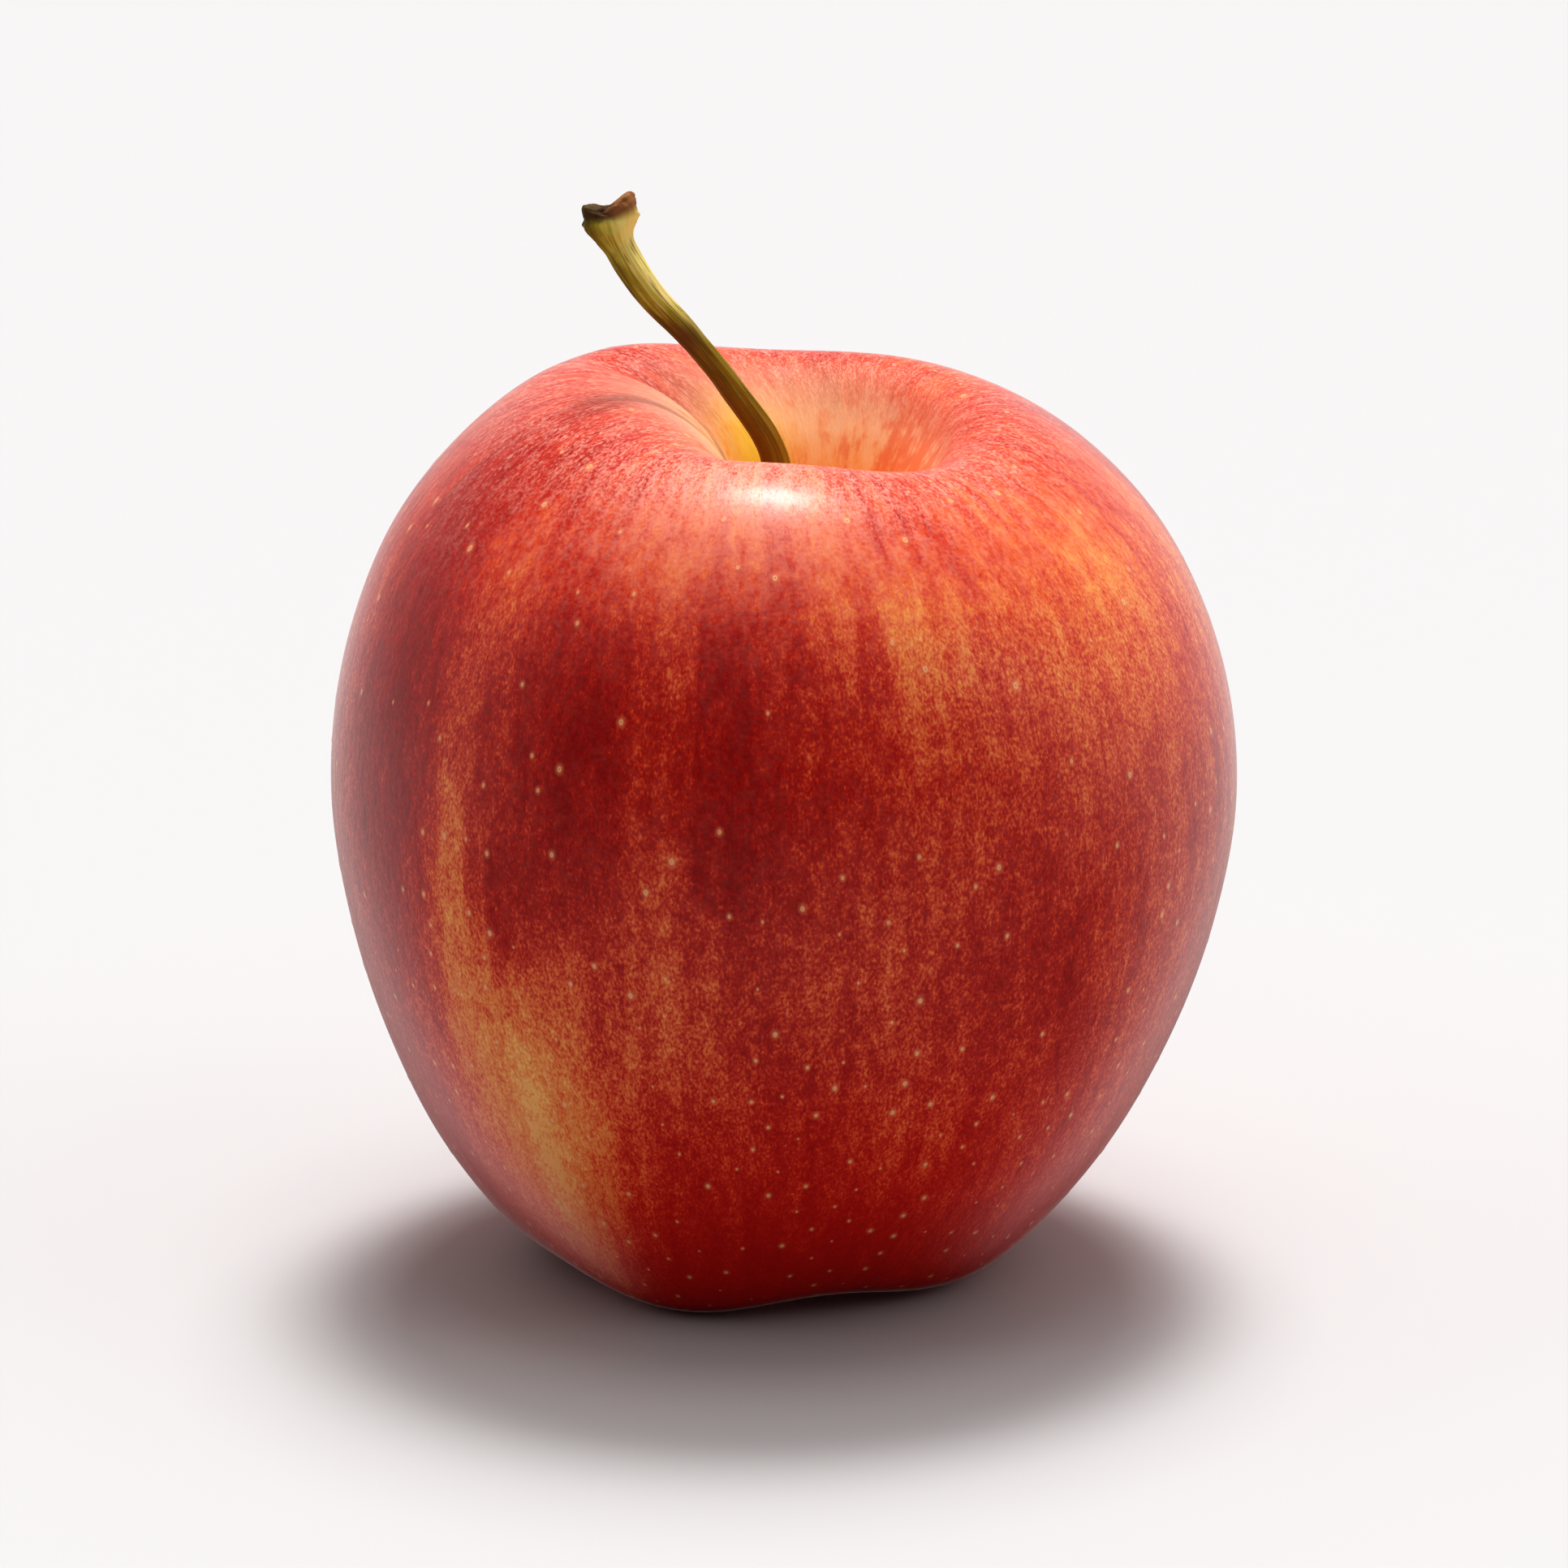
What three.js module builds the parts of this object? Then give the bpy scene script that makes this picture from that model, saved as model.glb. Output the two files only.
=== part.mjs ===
// A dessert apple standing on the lobes of its base, with its stalk and the dried remains of its flower.
// Millimetres, +Z up. The origin is on the surface it stands on, under the middle of its outline.

import * as THREE from "three";

// Driving dimensions.
const FRUIT_RADIUS = 37.5;
const EQUATOR_HEIGHT = 41;
const SHOULDER_HEIGHT = 72;
const WAVE_FADE_RADIUS = 10;
const REST_FLATTENING = 0.45;

// Half section of the fruit as [radius, height]: from the roof of the calyx basin, under the base,
// up the flank, over the shoulder and down to the floor of the stalk cavity.
const FRUIT_SECTION = [
  [0, 10.4], [2, 10.3], [4.6, 9], [7.6, 5.4], [11, 1.9], [15.4, 0.8], [21.3, 3], [28, 11],
  [32.8, 20.5], [36, 30.5], [FRUIT_RADIUS, EQUATOR_HEIGHT], [36.3, 51.5], [32.5, 61.3],
  [26.9, 68.3], [20.7, 72.3], [15, 72.1], [10.6, 68.4], [7.2, 62.6], [4.4, 55.6], [2.2, 52.2],
  [0, 51.7],
];
const SECTION_STEPS = 57;
const FRUIT_SIDES = 72;

// How the round section swells and dips around the axis: [lobes, height, direction in degrees].
const SHOULDER_WAVES = [
  [1, 1.6, 114],
  [3, 0.45, 138],
  [5, 0.25, 133],
];
const BASE_WAVES = [
  [3, 0.3, -120],
  [5, 0.5, -112],
];
const BASE_SWELL = 0.03;
const SHOULDER_LEAN = 1.0;
const BASE_LEAN = 1.3;

// The crease down one wall of the stalk cavity and the folds beside it: [depth, direction, half angle].
const CAVITY_FOLDS = [
  [1.8, 142, 9],
  [-2.2, 178, 24],
  [-2.8, 214, 25],
  [1.2, 332, 24],
];
const FOLD_MIDDLE_RADIUS = 12;
const FOLD_REACH = 6;

// How far the cavity's walls lie to one side of the stalk.
const CAVITY_SHIFT = 2.2;
const CAVITY_SHIFT_RADIUS = 9.5;
const CAVITY_SHIFT_REACH = 5;

// The wall beside the fold leans further in: distance, direction and half angle.
const FOLD_SHIFT = 2.3;
const FOLD_SHIFT_DIRECTION = 185;
const FOLD_SHIFT_HALF_ANGLE = 50;

// The stalk: centre line [x, z] from the cavity floor to the knob that held it to the spur.
const STALK_PATH = [
  [0, 51.75], [-0.1, 61], [-0.8, 68.2], [-4.2, 73.7], [-7.8, 78.3], [-11.3, 82.2], [-13.7, 86.3],
  [-14.4, 89.8],
];
// [share of the length, radius]
const STALK_THICKNESS = [
  [0, 0], [0, 1.2], [0.1, 1.4], [0.35, 1.15], [0.6, 1], [0.84, 1.15], [0.93, 1.6], [0.98, 2.1],
  [1, 1.7], [1, 0],
];
const STALK_STEPS = 40;
const STALK_SIDES = 14;
const STALK_FLATTENING = 0.88;

// A dried sepal: centre line [distance from the axis, height], half width along it, and thickness.
const SEPALS = 5;
const SEPAL_DIRECTION = 20;
const SEPAL_PATH = [[3, 8.9], [2.7, 7.4], [3.2, 6], [4.6, 5.2]];
const SEPAL_HALF_WIDTH = [[0, 0], [0, 1.1], [0.3, 1.35], [0.7, 0.85], [0.97, 0.2], [1, 0]];
const SEPAL_THICKNESS_SHARE = 0.24;
const SEPAL_STEPS = 12;
const SEPAL_SIDES = 12;

// The bundle of dried stamens between the sepals, as [radius, height].
const STAMEN_SECTION = [[0, 5.6], [1.2, 5.9], [1.45, 6.6], [1, 8], [0.8, 9.5], [0, 9.6]];
const STAMEN_SIDES = 16;

const radians = THREE.MathUtils.degToRad;
const clamp = THREE.MathUtils.clamp;

function material(color, roughness) {
  return new THREE.MeshStandardMaterial({ color, roughness, metalness: 0 });
}

const SKIN = material("#b3261a", 0.35);
const STALK_WOOD = material("#7a6a26", 0.7);
const DRIED_LEAF = material("#5b4326", 0.85);
const DRIED_THREAD = material("#3b2a1a", 0.9);

// A smooth line through [a, b] pairs, as evenly spread points.
function smoothLine(pairs, steps) {
  const curve = new THREE.SplineCurve(pairs.map(([a, b]) => new THREE.Vector2(a, b)));
  return curve.getPoints(steps).map((p) => new THREE.Vector2(Math.max(p.x, 0), p.y));
}

// A closed turned shape standing on +Z, from [radius, height] points that start and end on the axis.
function turned(points, sides) {
  const geometry = new THREE.LatheGeometry(points, sides);
  geometry.rotateX(Math.PI / 2);
  return geometry;
}

// Moves every vertex by a rule that changes the point it is given.
function reshape(geometry, rule) {
  const position = geometry.attributes.position;
  const point = new THREE.Vector3();
  for (let i = 0; i < position.count; i += 1) {
    point.fromBufferAttribute(position, i);
    rule(point);
    position.setXYZ(i, point.x, point.y, point.z);
  }
  return geometry;
}

// Height of a set of waves around the axis, at one angle.
function waveHeight(waves, angle) {
  let height = 0;
  for (const [lobes, swing, direction] of waves) {
    height += swing * Math.cos(lobes * (angle - radians(direction)));
  }
  return height;
}

// A hill of height 1 that has faded away about two half widths from its middle.
function bell(offset, halfWidth) {
  return Math.exp(-((offset / halfWidth) ** 2));
}

// The same hill laid round the axis: 1 in one direction (degrees), fading to both sides of it.
function bellAround(angle, direction, halfAngle) {
  const turn = angle - radians(direction);
  return bell(Math.atan2(Math.sin(turn), Math.cos(turn)), radians(halfAngle));
}

// How deep the cavity's crease and fold are at one place on the turned shape.
function foldDepth(radius, angle) {
  let depth = 0;
  for (const [foldDeep, direction, halfAngle] of CAVITY_FOLDS) {
    depth += foldDeep * bellAround(angle, direction, halfAngle);
  }
  return depth * bell(radius - FOLD_MIDDLE_RADIUS, FOLD_REACH);
}

// How far the cavity's wall is pushed along +X at one place on the turned shape.
function wallShift(radius, angle) {
  const beside = bellAround(angle, FOLD_SHIFT_DIRECTION, FOLD_SHIFT_HALF_ANGLE);
  const shift = CAVITY_SHIFT + FOLD_SHIFT * beside;
  return shift * bell(radius - CAVITY_SHIFT_RADIUS, CAVITY_SHIFT_REACH);
}

// Turns the round fruit into a grown one: uneven shoulders, five base lobes, a lean, a creased
// cavity off to one side, and flat resting spots.
function grow(point) {
  const radius = Math.hypot(point.x, point.y);
  const angle = Math.atan2(point.y, point.x);
  const fade = clamp(radius / WAVE_FADE_RADIUS, 0, 1);
  const high = clamp((point.z - EQUATOR_HEIGHT) / (SHOULDER_HEIGHT - EQUATOR_HEIGHT), 0, 1) ** 2 * fade;
  const low = clamp((EQUATOR_HEIGHT - point.z) / EQUATOR_HEIGHT, 0, 1) ** 2 * fade;
  const lobe = waveHeight(BASE_WAVES, angle);
  const swell = 1 + BASE_SWELL * low * lobe;
  const lift = high * waveHeight(SHOULDER_WAVES, angle) - low * lobe;
  const upper = point.z > EQUATOR_HEIGHT ? 1 : 0;
  const shift = upper * wallShift(radius, angle);
  const fold = upper * foldDepth(radius, angle);
  point.x = point.x * swell - high * SHOULDER_LEAN - low * BASE_LEAN + shift;
  point.y *= swell;
  point.z = Math.max(point.z + lift - fold - REST_FLATTENING, 0);
}

// Bends a turned shape of unit height along a curve, scaled along "across" and along the way it bends.
function bend(geometry, curve, across, acrossScale, bendScale) {
  const place = new THREE.Vector3();
  const along = new THREE.Vector3();
  const facing = new THREE.Vector3();
  return reshape(geometry, (point) => {
    const share = clamp(point.z, 0, 1);
    curve.getPointAt(share, place);
    curve.getTangentAt(share, along);
    facing.crossVectors(across, along).normalize();
    const width = point.y * acrossScale;
    const depth = point.x * bendScale;
    point.copy(place).addScaledVector(across, width).addScaledVector(facing, depth);
  });
}

// A turned blank of unit height: [share of the length, radius] pairs become evenly spread rings.
function blank(pairs, steps, sides) {
  const inner = pairs.slice(1, -1).map(([share, radius]) => [radius, share]);
  const rings = smoothLine(inner, steps);
  const first = new THREE.Vector2(0, pairs[0][0]);
  const last = new THREE.Vector2(0, pairs[pairs.length - 1][0]);
  return turned([first, ...rings, last], sides);
}

function named(name, geometry, finish) {
  const mesh = new THREE.Mesh(geometry, finish);
  mesh.name = name;
  return mesh;
}

function makeFruit() {
  const blankFruit = turned(smoothLine(FRUIT_SECTION, SECTION_STEPS), FRUIT_SIDES);
  return named("fruit", reshape(blankFruit, grow), SKIN);
}

function makeStalk() {
  const points = STALK_PATH.map(([x, z]) => new THREE.Vector3(x, 0, z));
  const path = new THREE.CatmullRomCurve3(points);
  const across = new THREE.Vector3(0, 1, 0);
  const shape = blank(STALK_THICKNESS, STALK_STEPS, STALK_SIDES);
  return named("stem", bend(shape, path, across, STALK_FLATTENING, 1), STALK_WOOD);
}

function makeSepal(index) {
  const points = SEPAL_PATH.map(([out, z]) => new THREE.Vector3(out, 0, z));
  const path = new THREE.CatmullRomCurve3(points);
  const across = new THREE.Vector3(0, 1, 0);
  const shape = blank(SEPAL_HALF_WIDTH, SEPAL_STEPS, SEPAL_SIDES);
  const bent = bend(shape, path, across, 1, SEPAL_THICKNESS_SHARE);
  const sepal = named(`sepal_${index + 1}`, bent, DRIED_LEAF);
  sepal.rotation.z = radians(SEPAL_DIRECTION + (360 / SEPALS) * index);
  return sepal;
}

function makeStamens() {
  const points = STAMEN_SECTION.map(([radius, height]) => new THREE.Vector2(radius, height));
  return named("stamen_tuft", turned(points, STAMEN_SIDES), DRIED_THREAD);
}

const apple = new THREE.Group();
apple.add(makeFruit());
apple.add(makeStalk());
for (let i = 0; i < SEPALS; i += 1) {
  apple.add(makeSepal(i));
}
apple.add(makeStamens());

export default apple;
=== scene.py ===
"""A ripe red apple: striped waxy skin with pores, a woody stalk, and the dried flower in its base."""

import math
from types import SimpleNamespace

import bpy
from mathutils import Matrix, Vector


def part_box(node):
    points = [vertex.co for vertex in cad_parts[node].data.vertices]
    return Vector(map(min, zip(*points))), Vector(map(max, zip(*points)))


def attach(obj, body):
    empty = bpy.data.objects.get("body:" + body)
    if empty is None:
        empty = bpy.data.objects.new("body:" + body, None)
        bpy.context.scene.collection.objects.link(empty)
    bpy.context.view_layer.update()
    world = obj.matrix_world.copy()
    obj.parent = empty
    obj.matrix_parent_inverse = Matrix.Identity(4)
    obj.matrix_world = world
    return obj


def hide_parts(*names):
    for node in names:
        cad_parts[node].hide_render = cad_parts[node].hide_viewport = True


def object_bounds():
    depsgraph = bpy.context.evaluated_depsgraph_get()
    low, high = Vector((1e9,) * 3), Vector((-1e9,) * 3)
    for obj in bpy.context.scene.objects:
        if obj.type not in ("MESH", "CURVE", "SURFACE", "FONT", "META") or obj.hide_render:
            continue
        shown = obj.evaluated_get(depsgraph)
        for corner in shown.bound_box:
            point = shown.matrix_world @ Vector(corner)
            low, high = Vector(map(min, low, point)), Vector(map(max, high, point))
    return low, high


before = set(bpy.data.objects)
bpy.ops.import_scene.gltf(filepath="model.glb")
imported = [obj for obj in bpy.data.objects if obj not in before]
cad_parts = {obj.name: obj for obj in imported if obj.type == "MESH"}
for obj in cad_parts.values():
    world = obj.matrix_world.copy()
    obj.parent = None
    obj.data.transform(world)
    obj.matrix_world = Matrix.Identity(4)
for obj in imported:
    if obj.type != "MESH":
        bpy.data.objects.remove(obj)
CAD_LOW, CAD_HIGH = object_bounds()
FRUIT_LOW, FRUIT_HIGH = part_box("fruit")
MM = 0.001

# The fruit, in millimetres: half section from the roof of the calyx basin to the floor of the stalk cavity.
RADIUS = (FRUIT_HIGH.x - FRUIT_LOW.x) / 2 / MM
EQUATOR = 41
SHOULDER = 72
OUTLINE = [
    (0, 10.4), (2, 10.3), (4.6, 9), (7.6, 5.4), (11, 1.9), (15.4, 0.8), (21.3, 3), (28, 11), (32.8, 20.5),
    (36, 30.5), (RADIUS, EQUATOR), (36.3, 51.5), (32.5, 61.3), (26.9, 68.3), (20.7, 72.3), (15, 72.1),
    (10.6, 68.4), (7.2, 62.6), (4.4, 55.6), (2.2, 52.2), (0, 51.7),
]
OUTLINE_LENGTH = 138

# Swellings round the axis: (lobes, height in millimetres, direction in degrees).
SHOULDER_WAVES = [(1, 1.6, 114), (3, 0.45, 138), (5, 0.25, 133)]
BASE_WAVES = [(3, 0.3, -120), (5, 0.5, -112)]

# The crease and folds of the stalk cavity: (depth in millimetres, direction, half angle).
CAVITY_FOLDS = [(1.8, 142, 9), (-2.2, 178, 24), (-2.8, 214, 25), (1.2, 332, 24)]
FOLD_MIDDLE_RADIUS = 12
FOLD_REACH = 6

# The cavity's wall lies to one side of the stalk, and leans further in beside the fold.
CAVITY_SHIFT_RADIUS = 9.5
CAVITY_SHIFT_REACH = 5
FOLD_SHIFT_DIRECTION = 185
FOLD_SHIFT_HALF_ANGLE = 50

# The stalk's centre line in millimetres: (x, z).
STALK_PATH = [
    (0, 51.75), (-0.1, 61), (-0.8, 68.2), (-4.2, 73.7), (-7.8, 78.3), (-11.3, 82.2), (-13.7, 86.3),
    (-14.4, 89.8),
]

# A sepal's centre line in millimetres: (distance from the axis, height).
SEPAL_PATH = [(3, 8.9), (2.7, 7.4), (3.2, 6), (4.6, 5.2)]

# ---------------------------------------------------------------- writing node trees as formulas


def feed(tree, value, socket):
    """Puts a number, a socket or a term into a node's socket."""
    if isinstance(value, Term):
        tree.links.new(value.socket, socket)
    elif isinstance(value, bpy.types.NodeSocket):
        tree.links.new(value, socket)
    else:
        socket.default_value = value


class Term:
    """A number inside a node tree, so that a rule reads as a formula."""

    def __init__(self, tree, socket):
        self.tree = tree
        self.socket = socket

    def math(self, operation, *others):
        node = self.tree.nodes.new("ShaderNodeMath")
        node.operation = operation
        for socket, value in zip(node.inputs, (self, *others)):
            feed(self.tree, value, socket)
        return Term(self.tree, node.outputs[0])

    def __add__(self, other):
        return self.math("ADD", other)

    def __sub__(self, other):
        return self.math("SUBTRACT", other)

    def __mul__(self, other):
        return self.math("MULTIPLY", other)

    def __truediv__(self, other):
        return self.math("DIVIDE", other)

    def __neg__(self):
        return self.math("MULTIPLY", -1.0)

    def __rsub__(self, other):
        return -self + other

    __radd__ = __add__
    __rmul__ = __mul__

    def clamped(self):
        return self.math("MAXIMUM", 0.0).math("MINIMUM", 1.0)

    def rise(self, low, high):
        """0 below low, 1 above high, smooth between them."""
        node = self.tree.nodes.new("ShaderNodeMapRange")
        node.interpolation_type = "SMOOTHSTEP"
        for socket, value in zip(node.inputs, (self, low, high)):
            feed(self.tree, value, socket)
        return Term(self.tree, node.outputs[0])

    def bell(self, middle, half_width):
        """1 at the middle, fading to 0 at about two half widths away."""
        offset = (self - middle) / half_width
        return (-(offset * offset)).math("EXPONENT")

    def turned_from(self, degrees):
        """This angle measured from a direction, from -pi to pi."""
        return (self - math.radians(degrees)).math("WRAP", math.pi, -math.pi)


def vector(tree, x, y, z):
    node = tree.nodes.new("ShaderNodeCombineXYZ")
    for socket, value in zip(node.inputs, (x, y, z)):
        feed(tree, value, socket)
    return node.outputs[0]


def parts(tree, source):
    node = tree.nodes.new("ShaderNodeSeparateXYZ")
    tree.links.new(source, node.inputs[0])
    return [Term(tree, output) for output in node.outputs]


def vector_math(tree, operation, *values):
    node = tree.nodes.new("ShaderNodeVectorMath")
    node.operation = operation
    for socket, value in zip(node.inputs, values):
        feed(tree, value, socket)
    return node.outputs[0]


def scaled(tree, source, amount):
    node = tree.nodes.new("ShaderNodeVectorMath")
    node.operation = "SCALE"
    tree.links.new(source, node.inputs[0])
    feed(tree, amount, node.inputs["Scale"])
    return node.outputs[0]


def noise(tree, where, scale=1.0, detail=2.0, roughness=0.5):
    node = tree.nodes.new("ShaderNodeTexNoise")
    tree.links.new(where, node.inputs["Vector"])
    node.inputs["Scale"].default_value = scale
    node.inputs["Detail"].default_value = detail
    node.inputs["Roughness"].default_value = roughness
    return Term(tree, node.outputs[0])


# ---------------------------------------------------------------- geometry trees


def new_tree(name, sizes):
    """A geometry tree with named inputs, and the terms or sockets that its inputs give."""
    tree = bpy.data.node_groups.new(name, "GeometryNodeTree")
    tree.interface.new_socket("Geometry", in_out="OUTPUT", socket_type="NodeSocketGeometry")
    for label, value in sizes.items():
        kind = "NodeSocketFloat"
        if isinstance(value, int):
            kind = "NodeSocketInt"
        if isinstance(value, bpy.types.Object):
            kind = "NodeSocketObject"
        tree.interface.new_socket(label, in_out="INPUT", socket_type=kind)
    entry = tree.nodes.new("NodeGroupInput")
    return tree, {label: Term(tree, entry.outputs[label]) for label in sizes}


def finish_tree(tree, geometry, material):
    """Ends a tree: instances made real, one material, smooth faces."""
    real = tree.nodes.new("GeometryNodeRealizeInstances")
    smooth = tree.nodes.new("GeometryNodeSetShadeSmooth")
    paint = tree.nodes.new("GeometryNodeSetMaterial")
    paint.inputs["Material"].default_value = material
    leave = tree.nodes.new("NodeGroupOutput")
    tree.links.new(geometry, real.inputs[0])
    tree.links.new(real.outputs[0], smooth.inputs[0])
    tree.links.new(smooth.outputs[0], paint.inputs[0])
    tree.links.new(paint.outputs[0], leave.inputs[0])


def grow(name, tree, sizes):
    """Runs a tree once and keeps what it makes as a plain mesh at the origin."""
    piece = bpy.data.objects.new(name, bpy.data.meshes.new(name))
    bpy.context.scene.collection.objects.link(piece)
    modifier = piece.modifiers.new("shape", "NODES")
    modifier.node_group = tree
    for item in tree.interface.items_tree:
        if item.name in sizes:
            modifier[item.identifier] = sizes[item.name]
    depsgraph = bpy.context.evaluated_depsgraph_get()
    evaluated = piece.evaluated_get(depsgraph)
    mesh = bpy.data.meshes.new_from_object(evaluated, preserve_all_data_layers=True, depsgraph=depsgraph)
    piece.modifiers.remove(modifier)
    piece.data = mesh
    mesh.name = name
    return piece


def drawn_line(name, points):
    """A line through points in millimetres, for a tree to follow."""
    curve = bpy.data.curves.new(name, "CURVE")
    curve.dimensions = "3D"
    spline = curve.splines.new("POLY")
    spline.points.add(len(points) - 1)
    for point, place in zip(spline.points, points):
        point.co = (place[0] * MM, place[1] * MM, place[2] * MM, 1)
    line = bpy.data.objects.new(name, curve)
    bpy.context.scene.collection.objects.link(line)
    return line


def smooth_line(tree, line):
    """The drawn line as one smooth curve through its points."""
    info = tree.nodes.new("GeometryNodeObjectInfo")
    feed(tree, line, info.inputs["Object"])
    kind = tree.nodes.new("GeometryNodeCurveSplineType")
    kind.spline_type = "CATMULL_ROM"
    resolution = tree.nodes.new("GeometryNodeSetSplineResolution")
    resolution.inputs["Resolution"].default_value = 16
    tree.links.new(info.outputs["Geometry"], kind.inputs["Curve"])
    tree.links.new(kind.outputs[0], resolution.inputs[0])
    return resolution.outputs[0]


def along_line(tree, curve, share):
    """Position and direction of the curve at a share of its length."""
    sample = tree.nodes.new("GeometryNodeSampleCurve")
    sample.mode = "FACTOR"
    sample.use_all_curves = True
    tree.links.new(curve, sample.inputs["Curves"])
    feed(tree, share, sample.inputs["Factor"])
    return sample.outputs["Position"], sample.outputs["Tangent"]


def flat_sheet(tree, around, rings):
    """A unit sheet with its UV map kept, to be rolled up: its mesh, and its two shares from 0 to 1."""
    grid = tree.nodes.new("GeometryNodeMeshGrid")
    grid.inputs["Size X"].default_value = 1
    grid.inputs["Size Y"].default_value = 1
    feed(tree, around, grid.inputs["Vertices X"])
    feed(tree, rings, grid.inputs["Vertices Y"])
    sheet = keep(tree, grid.outputs["Mesh"], "UVMap", grid.outputs["UV Map"], "FLOAT2", "CORNER")
    place = tree.nodes.new("GeometryNodeInputPosition")
    x, y, _ = parts(tree, place.outputs[0])
    return sheet, x + 0.5, y + 0.5


def keep(tree, geometry, name, value, kind="FLOAT", domain="POINT"):
    """Stores a value on the mesh under a name, for the materials to read."""
    node = tree.nodes.new("GeometryNodeStoreNamedAttribute")
    node.data_type = kind
    node.domain = domain
    node.inputs["Name"].default_value = name
    tree.links.new(geometry, node.inputs["Geometry"])
    feed(tree, value, node.inputs["Value"])
    return node.outputs[0]


def placed(tree, geometry, position):
    node = tree.nodes.new("GeometryNodeSetPosition")
    tree.links.new(geometry, node.inputs["Geometry"])
    feed(tree, position, node.inputs["Position"])
    return node.outputs[0]


def lifted(tree, geometry, height):
    node = tree.nodes.new("GeometryNodeTransform")
    tree.links.new(geometry, node.inputs["Geometry"])
    feed(tree, vector(tree, 0.0, 0.0, height), node.inputs["Translation"])
    return node.outputs[0]


def welded(tree, geometry):
    node = tree.nodes.new("GeometryNodeMergeByDistance")
    tree.links.new(geometry, node.inputs["Geometry"])
    node.inputs["Distance"].default_value = 0.002 * MM
    return node.outputs[0]


def wave_height(tree, waves, angle):
    """Height in metres of a set of swellings, at one angle round the axis."""
    total = None
    for lobes, height, direction in waves:
        swell = (angle.turned_from(direction) * float(lobes)).math("COSINE") * (height * MM)
        total = swell if total is None else total + swell
    return total


def cavity_crease(angle, radius):
    """Depth in metres of the crease and the folds in the cavity's wall."""
    fold = 0.0
    for depth, direction, half_angle in CAVITY_FOLDS:
        fold = angle.turned_from(direction).bell(0.0, math.radians(half_angle)) * (depth * MM) + fold
    return fold * radius.bell(FOLD_MIDDLE_RADIUS * MM, FOLD_REACH * MM)


def cavity_shift(given, angle, radius):
    """How far in metres the cavity's wall is moved along +X."""
    beside = angle.turned_from(FOLD_SHIFT_DIRECTION).bell(0.0, math.radians(FOLD_SHIFT_HALF_ANGLE))
    shift = given["Cavity shift"] + beside * given["Fold shift"]
    return shift * radius.bell(CAVITY_SHIFT_RADIUS * MM, CAVITY_SHIFT_REACH * MM)


def fruit_tree(sizes, skin):
    """Rolls the section round the axis and lets it grow uneven, as the fruit did."""
    tree, given = new_tree("fruit_form", sizes)
    sheet, turn, share = flat_sheet(tree, given["Sides"], given["Rings"])
    outline, _ = along_line(tree, smooth_line(tree, given["Outline"]), share)
    radius, _, height = parts(tree, outline)
    angle = (turn - 0.5) * math.tau

    fade = (radius / given["Fade radius"]).clamped()
    equator = given["Equator height"]
    high = ((height - equator) / (given["Shoulder height"] - equator)).clamped()
    low = ((equator - height) / equator).clamped()
    high = high * high * fade
    low = low * low * fade
    lobe = wave_height(tree, BASE_WAVES, angle)
    lift = high * wave_height(tree, SHOULDER_WAVES, angle) - low * lobe
    swell = 1.0 + low * lobe * given["Base swell"]

    upper = height.math("GREATER_THAN", EQUATOR * MM)
    crease = cavity_crease(angle, radius) * upper
    shift = cavity_shift(given, angle, radius) * upper

    east = radius * swell * angle.math("COSINE")
    east = east - high * given["Shoulder lean"] - low * given["Base lean"] + shift
    north = radius * swell * angle.math("SINE")
    up = (height + lift - crease - given["Rest flattening"]).math("MAXIMUM", 0.0)

    across = angle.math("COSINE") * RADIUS
    meridian = vector(tree, across, angle.math("SINE") * RADIUS, share * OUTLINE_LENGTH)
    named = keep(tree, sheet, "meridian", meridian, "FLOAT_VECTOR")
    rolled = placed(tree, named, vector(tree, east, north, up))
    finish_tree(tree, welded(tree, rolled), skin)
    return tree


def make_fruit(skin):
    outline = drawn_line("outline", [(r, 0, z) for r, z in OUTLINE])
    sizes = {
        "Outline": outline,
        "Sides": 320,
        "Rings": 300,
        "Fade radius": 10 * MM,
        "Equator height": EQUATOR * MM,
        "Shoulder height": SHOULDER * MM,
        "Base swell": 0.03 / MM,
        "Shoulder lean": 1.0 * MM,
        "Base lean": 1.3 * MM,
        "Fold shift": 2.3 * MM,
        "Cavity shift": 2.2 * MM,
        "Rest flattening": 0.45 * MM,
    }
    fruit = grow("fruit_skin", fruit_tree(sizes, skin), sizes)
    bpy.data.objects.remove(outline)
    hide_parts("fruit")
    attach(fruit, "root")
    return fruit


def sweep_tree(name, sizes, material, shape):
    """Rolls a sheet into a closed tube along a line. shape() gives, for each share of the length and
    angle round the line, how far the skin lies to the side, outward and ahead, in metres."""
    tree, given = new_tree(name, sizes)
    sheet, turn, share = flat_sheet(tree, given["Sides"], given["Rings"])
    angle = (turn - 0.5) * math.tau
    centre, ahead = along_line(tree, smooth_line(tree, given["Line"]), share)
    across = vector(tree, given["Across X"], given["Across Y"], 0.0)
    facing = vector_math(tree, "CROSS_PRODUCT", across, ahead)
    side, out, forward = shape(tree, given, share, angle)
    place = vector_math(tree, "ADD", centre, scaled(tree, facing, out))
    place = vector_math(tree, "ADD", place, scaled(tree, across, side))
    place = vector_math(tree, "ADD", place, scaled(tree, ahead, forward))
    girth = vector(tree, angle.math("COSINE"), angle.math("SINE"), share)
    named = keep(tree, sheet, "girth", girth, "FLOAT_VECTOR")
    finish_tree(tree, welded(tree, placed(tree, named, place)), material)
    return tree


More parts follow.
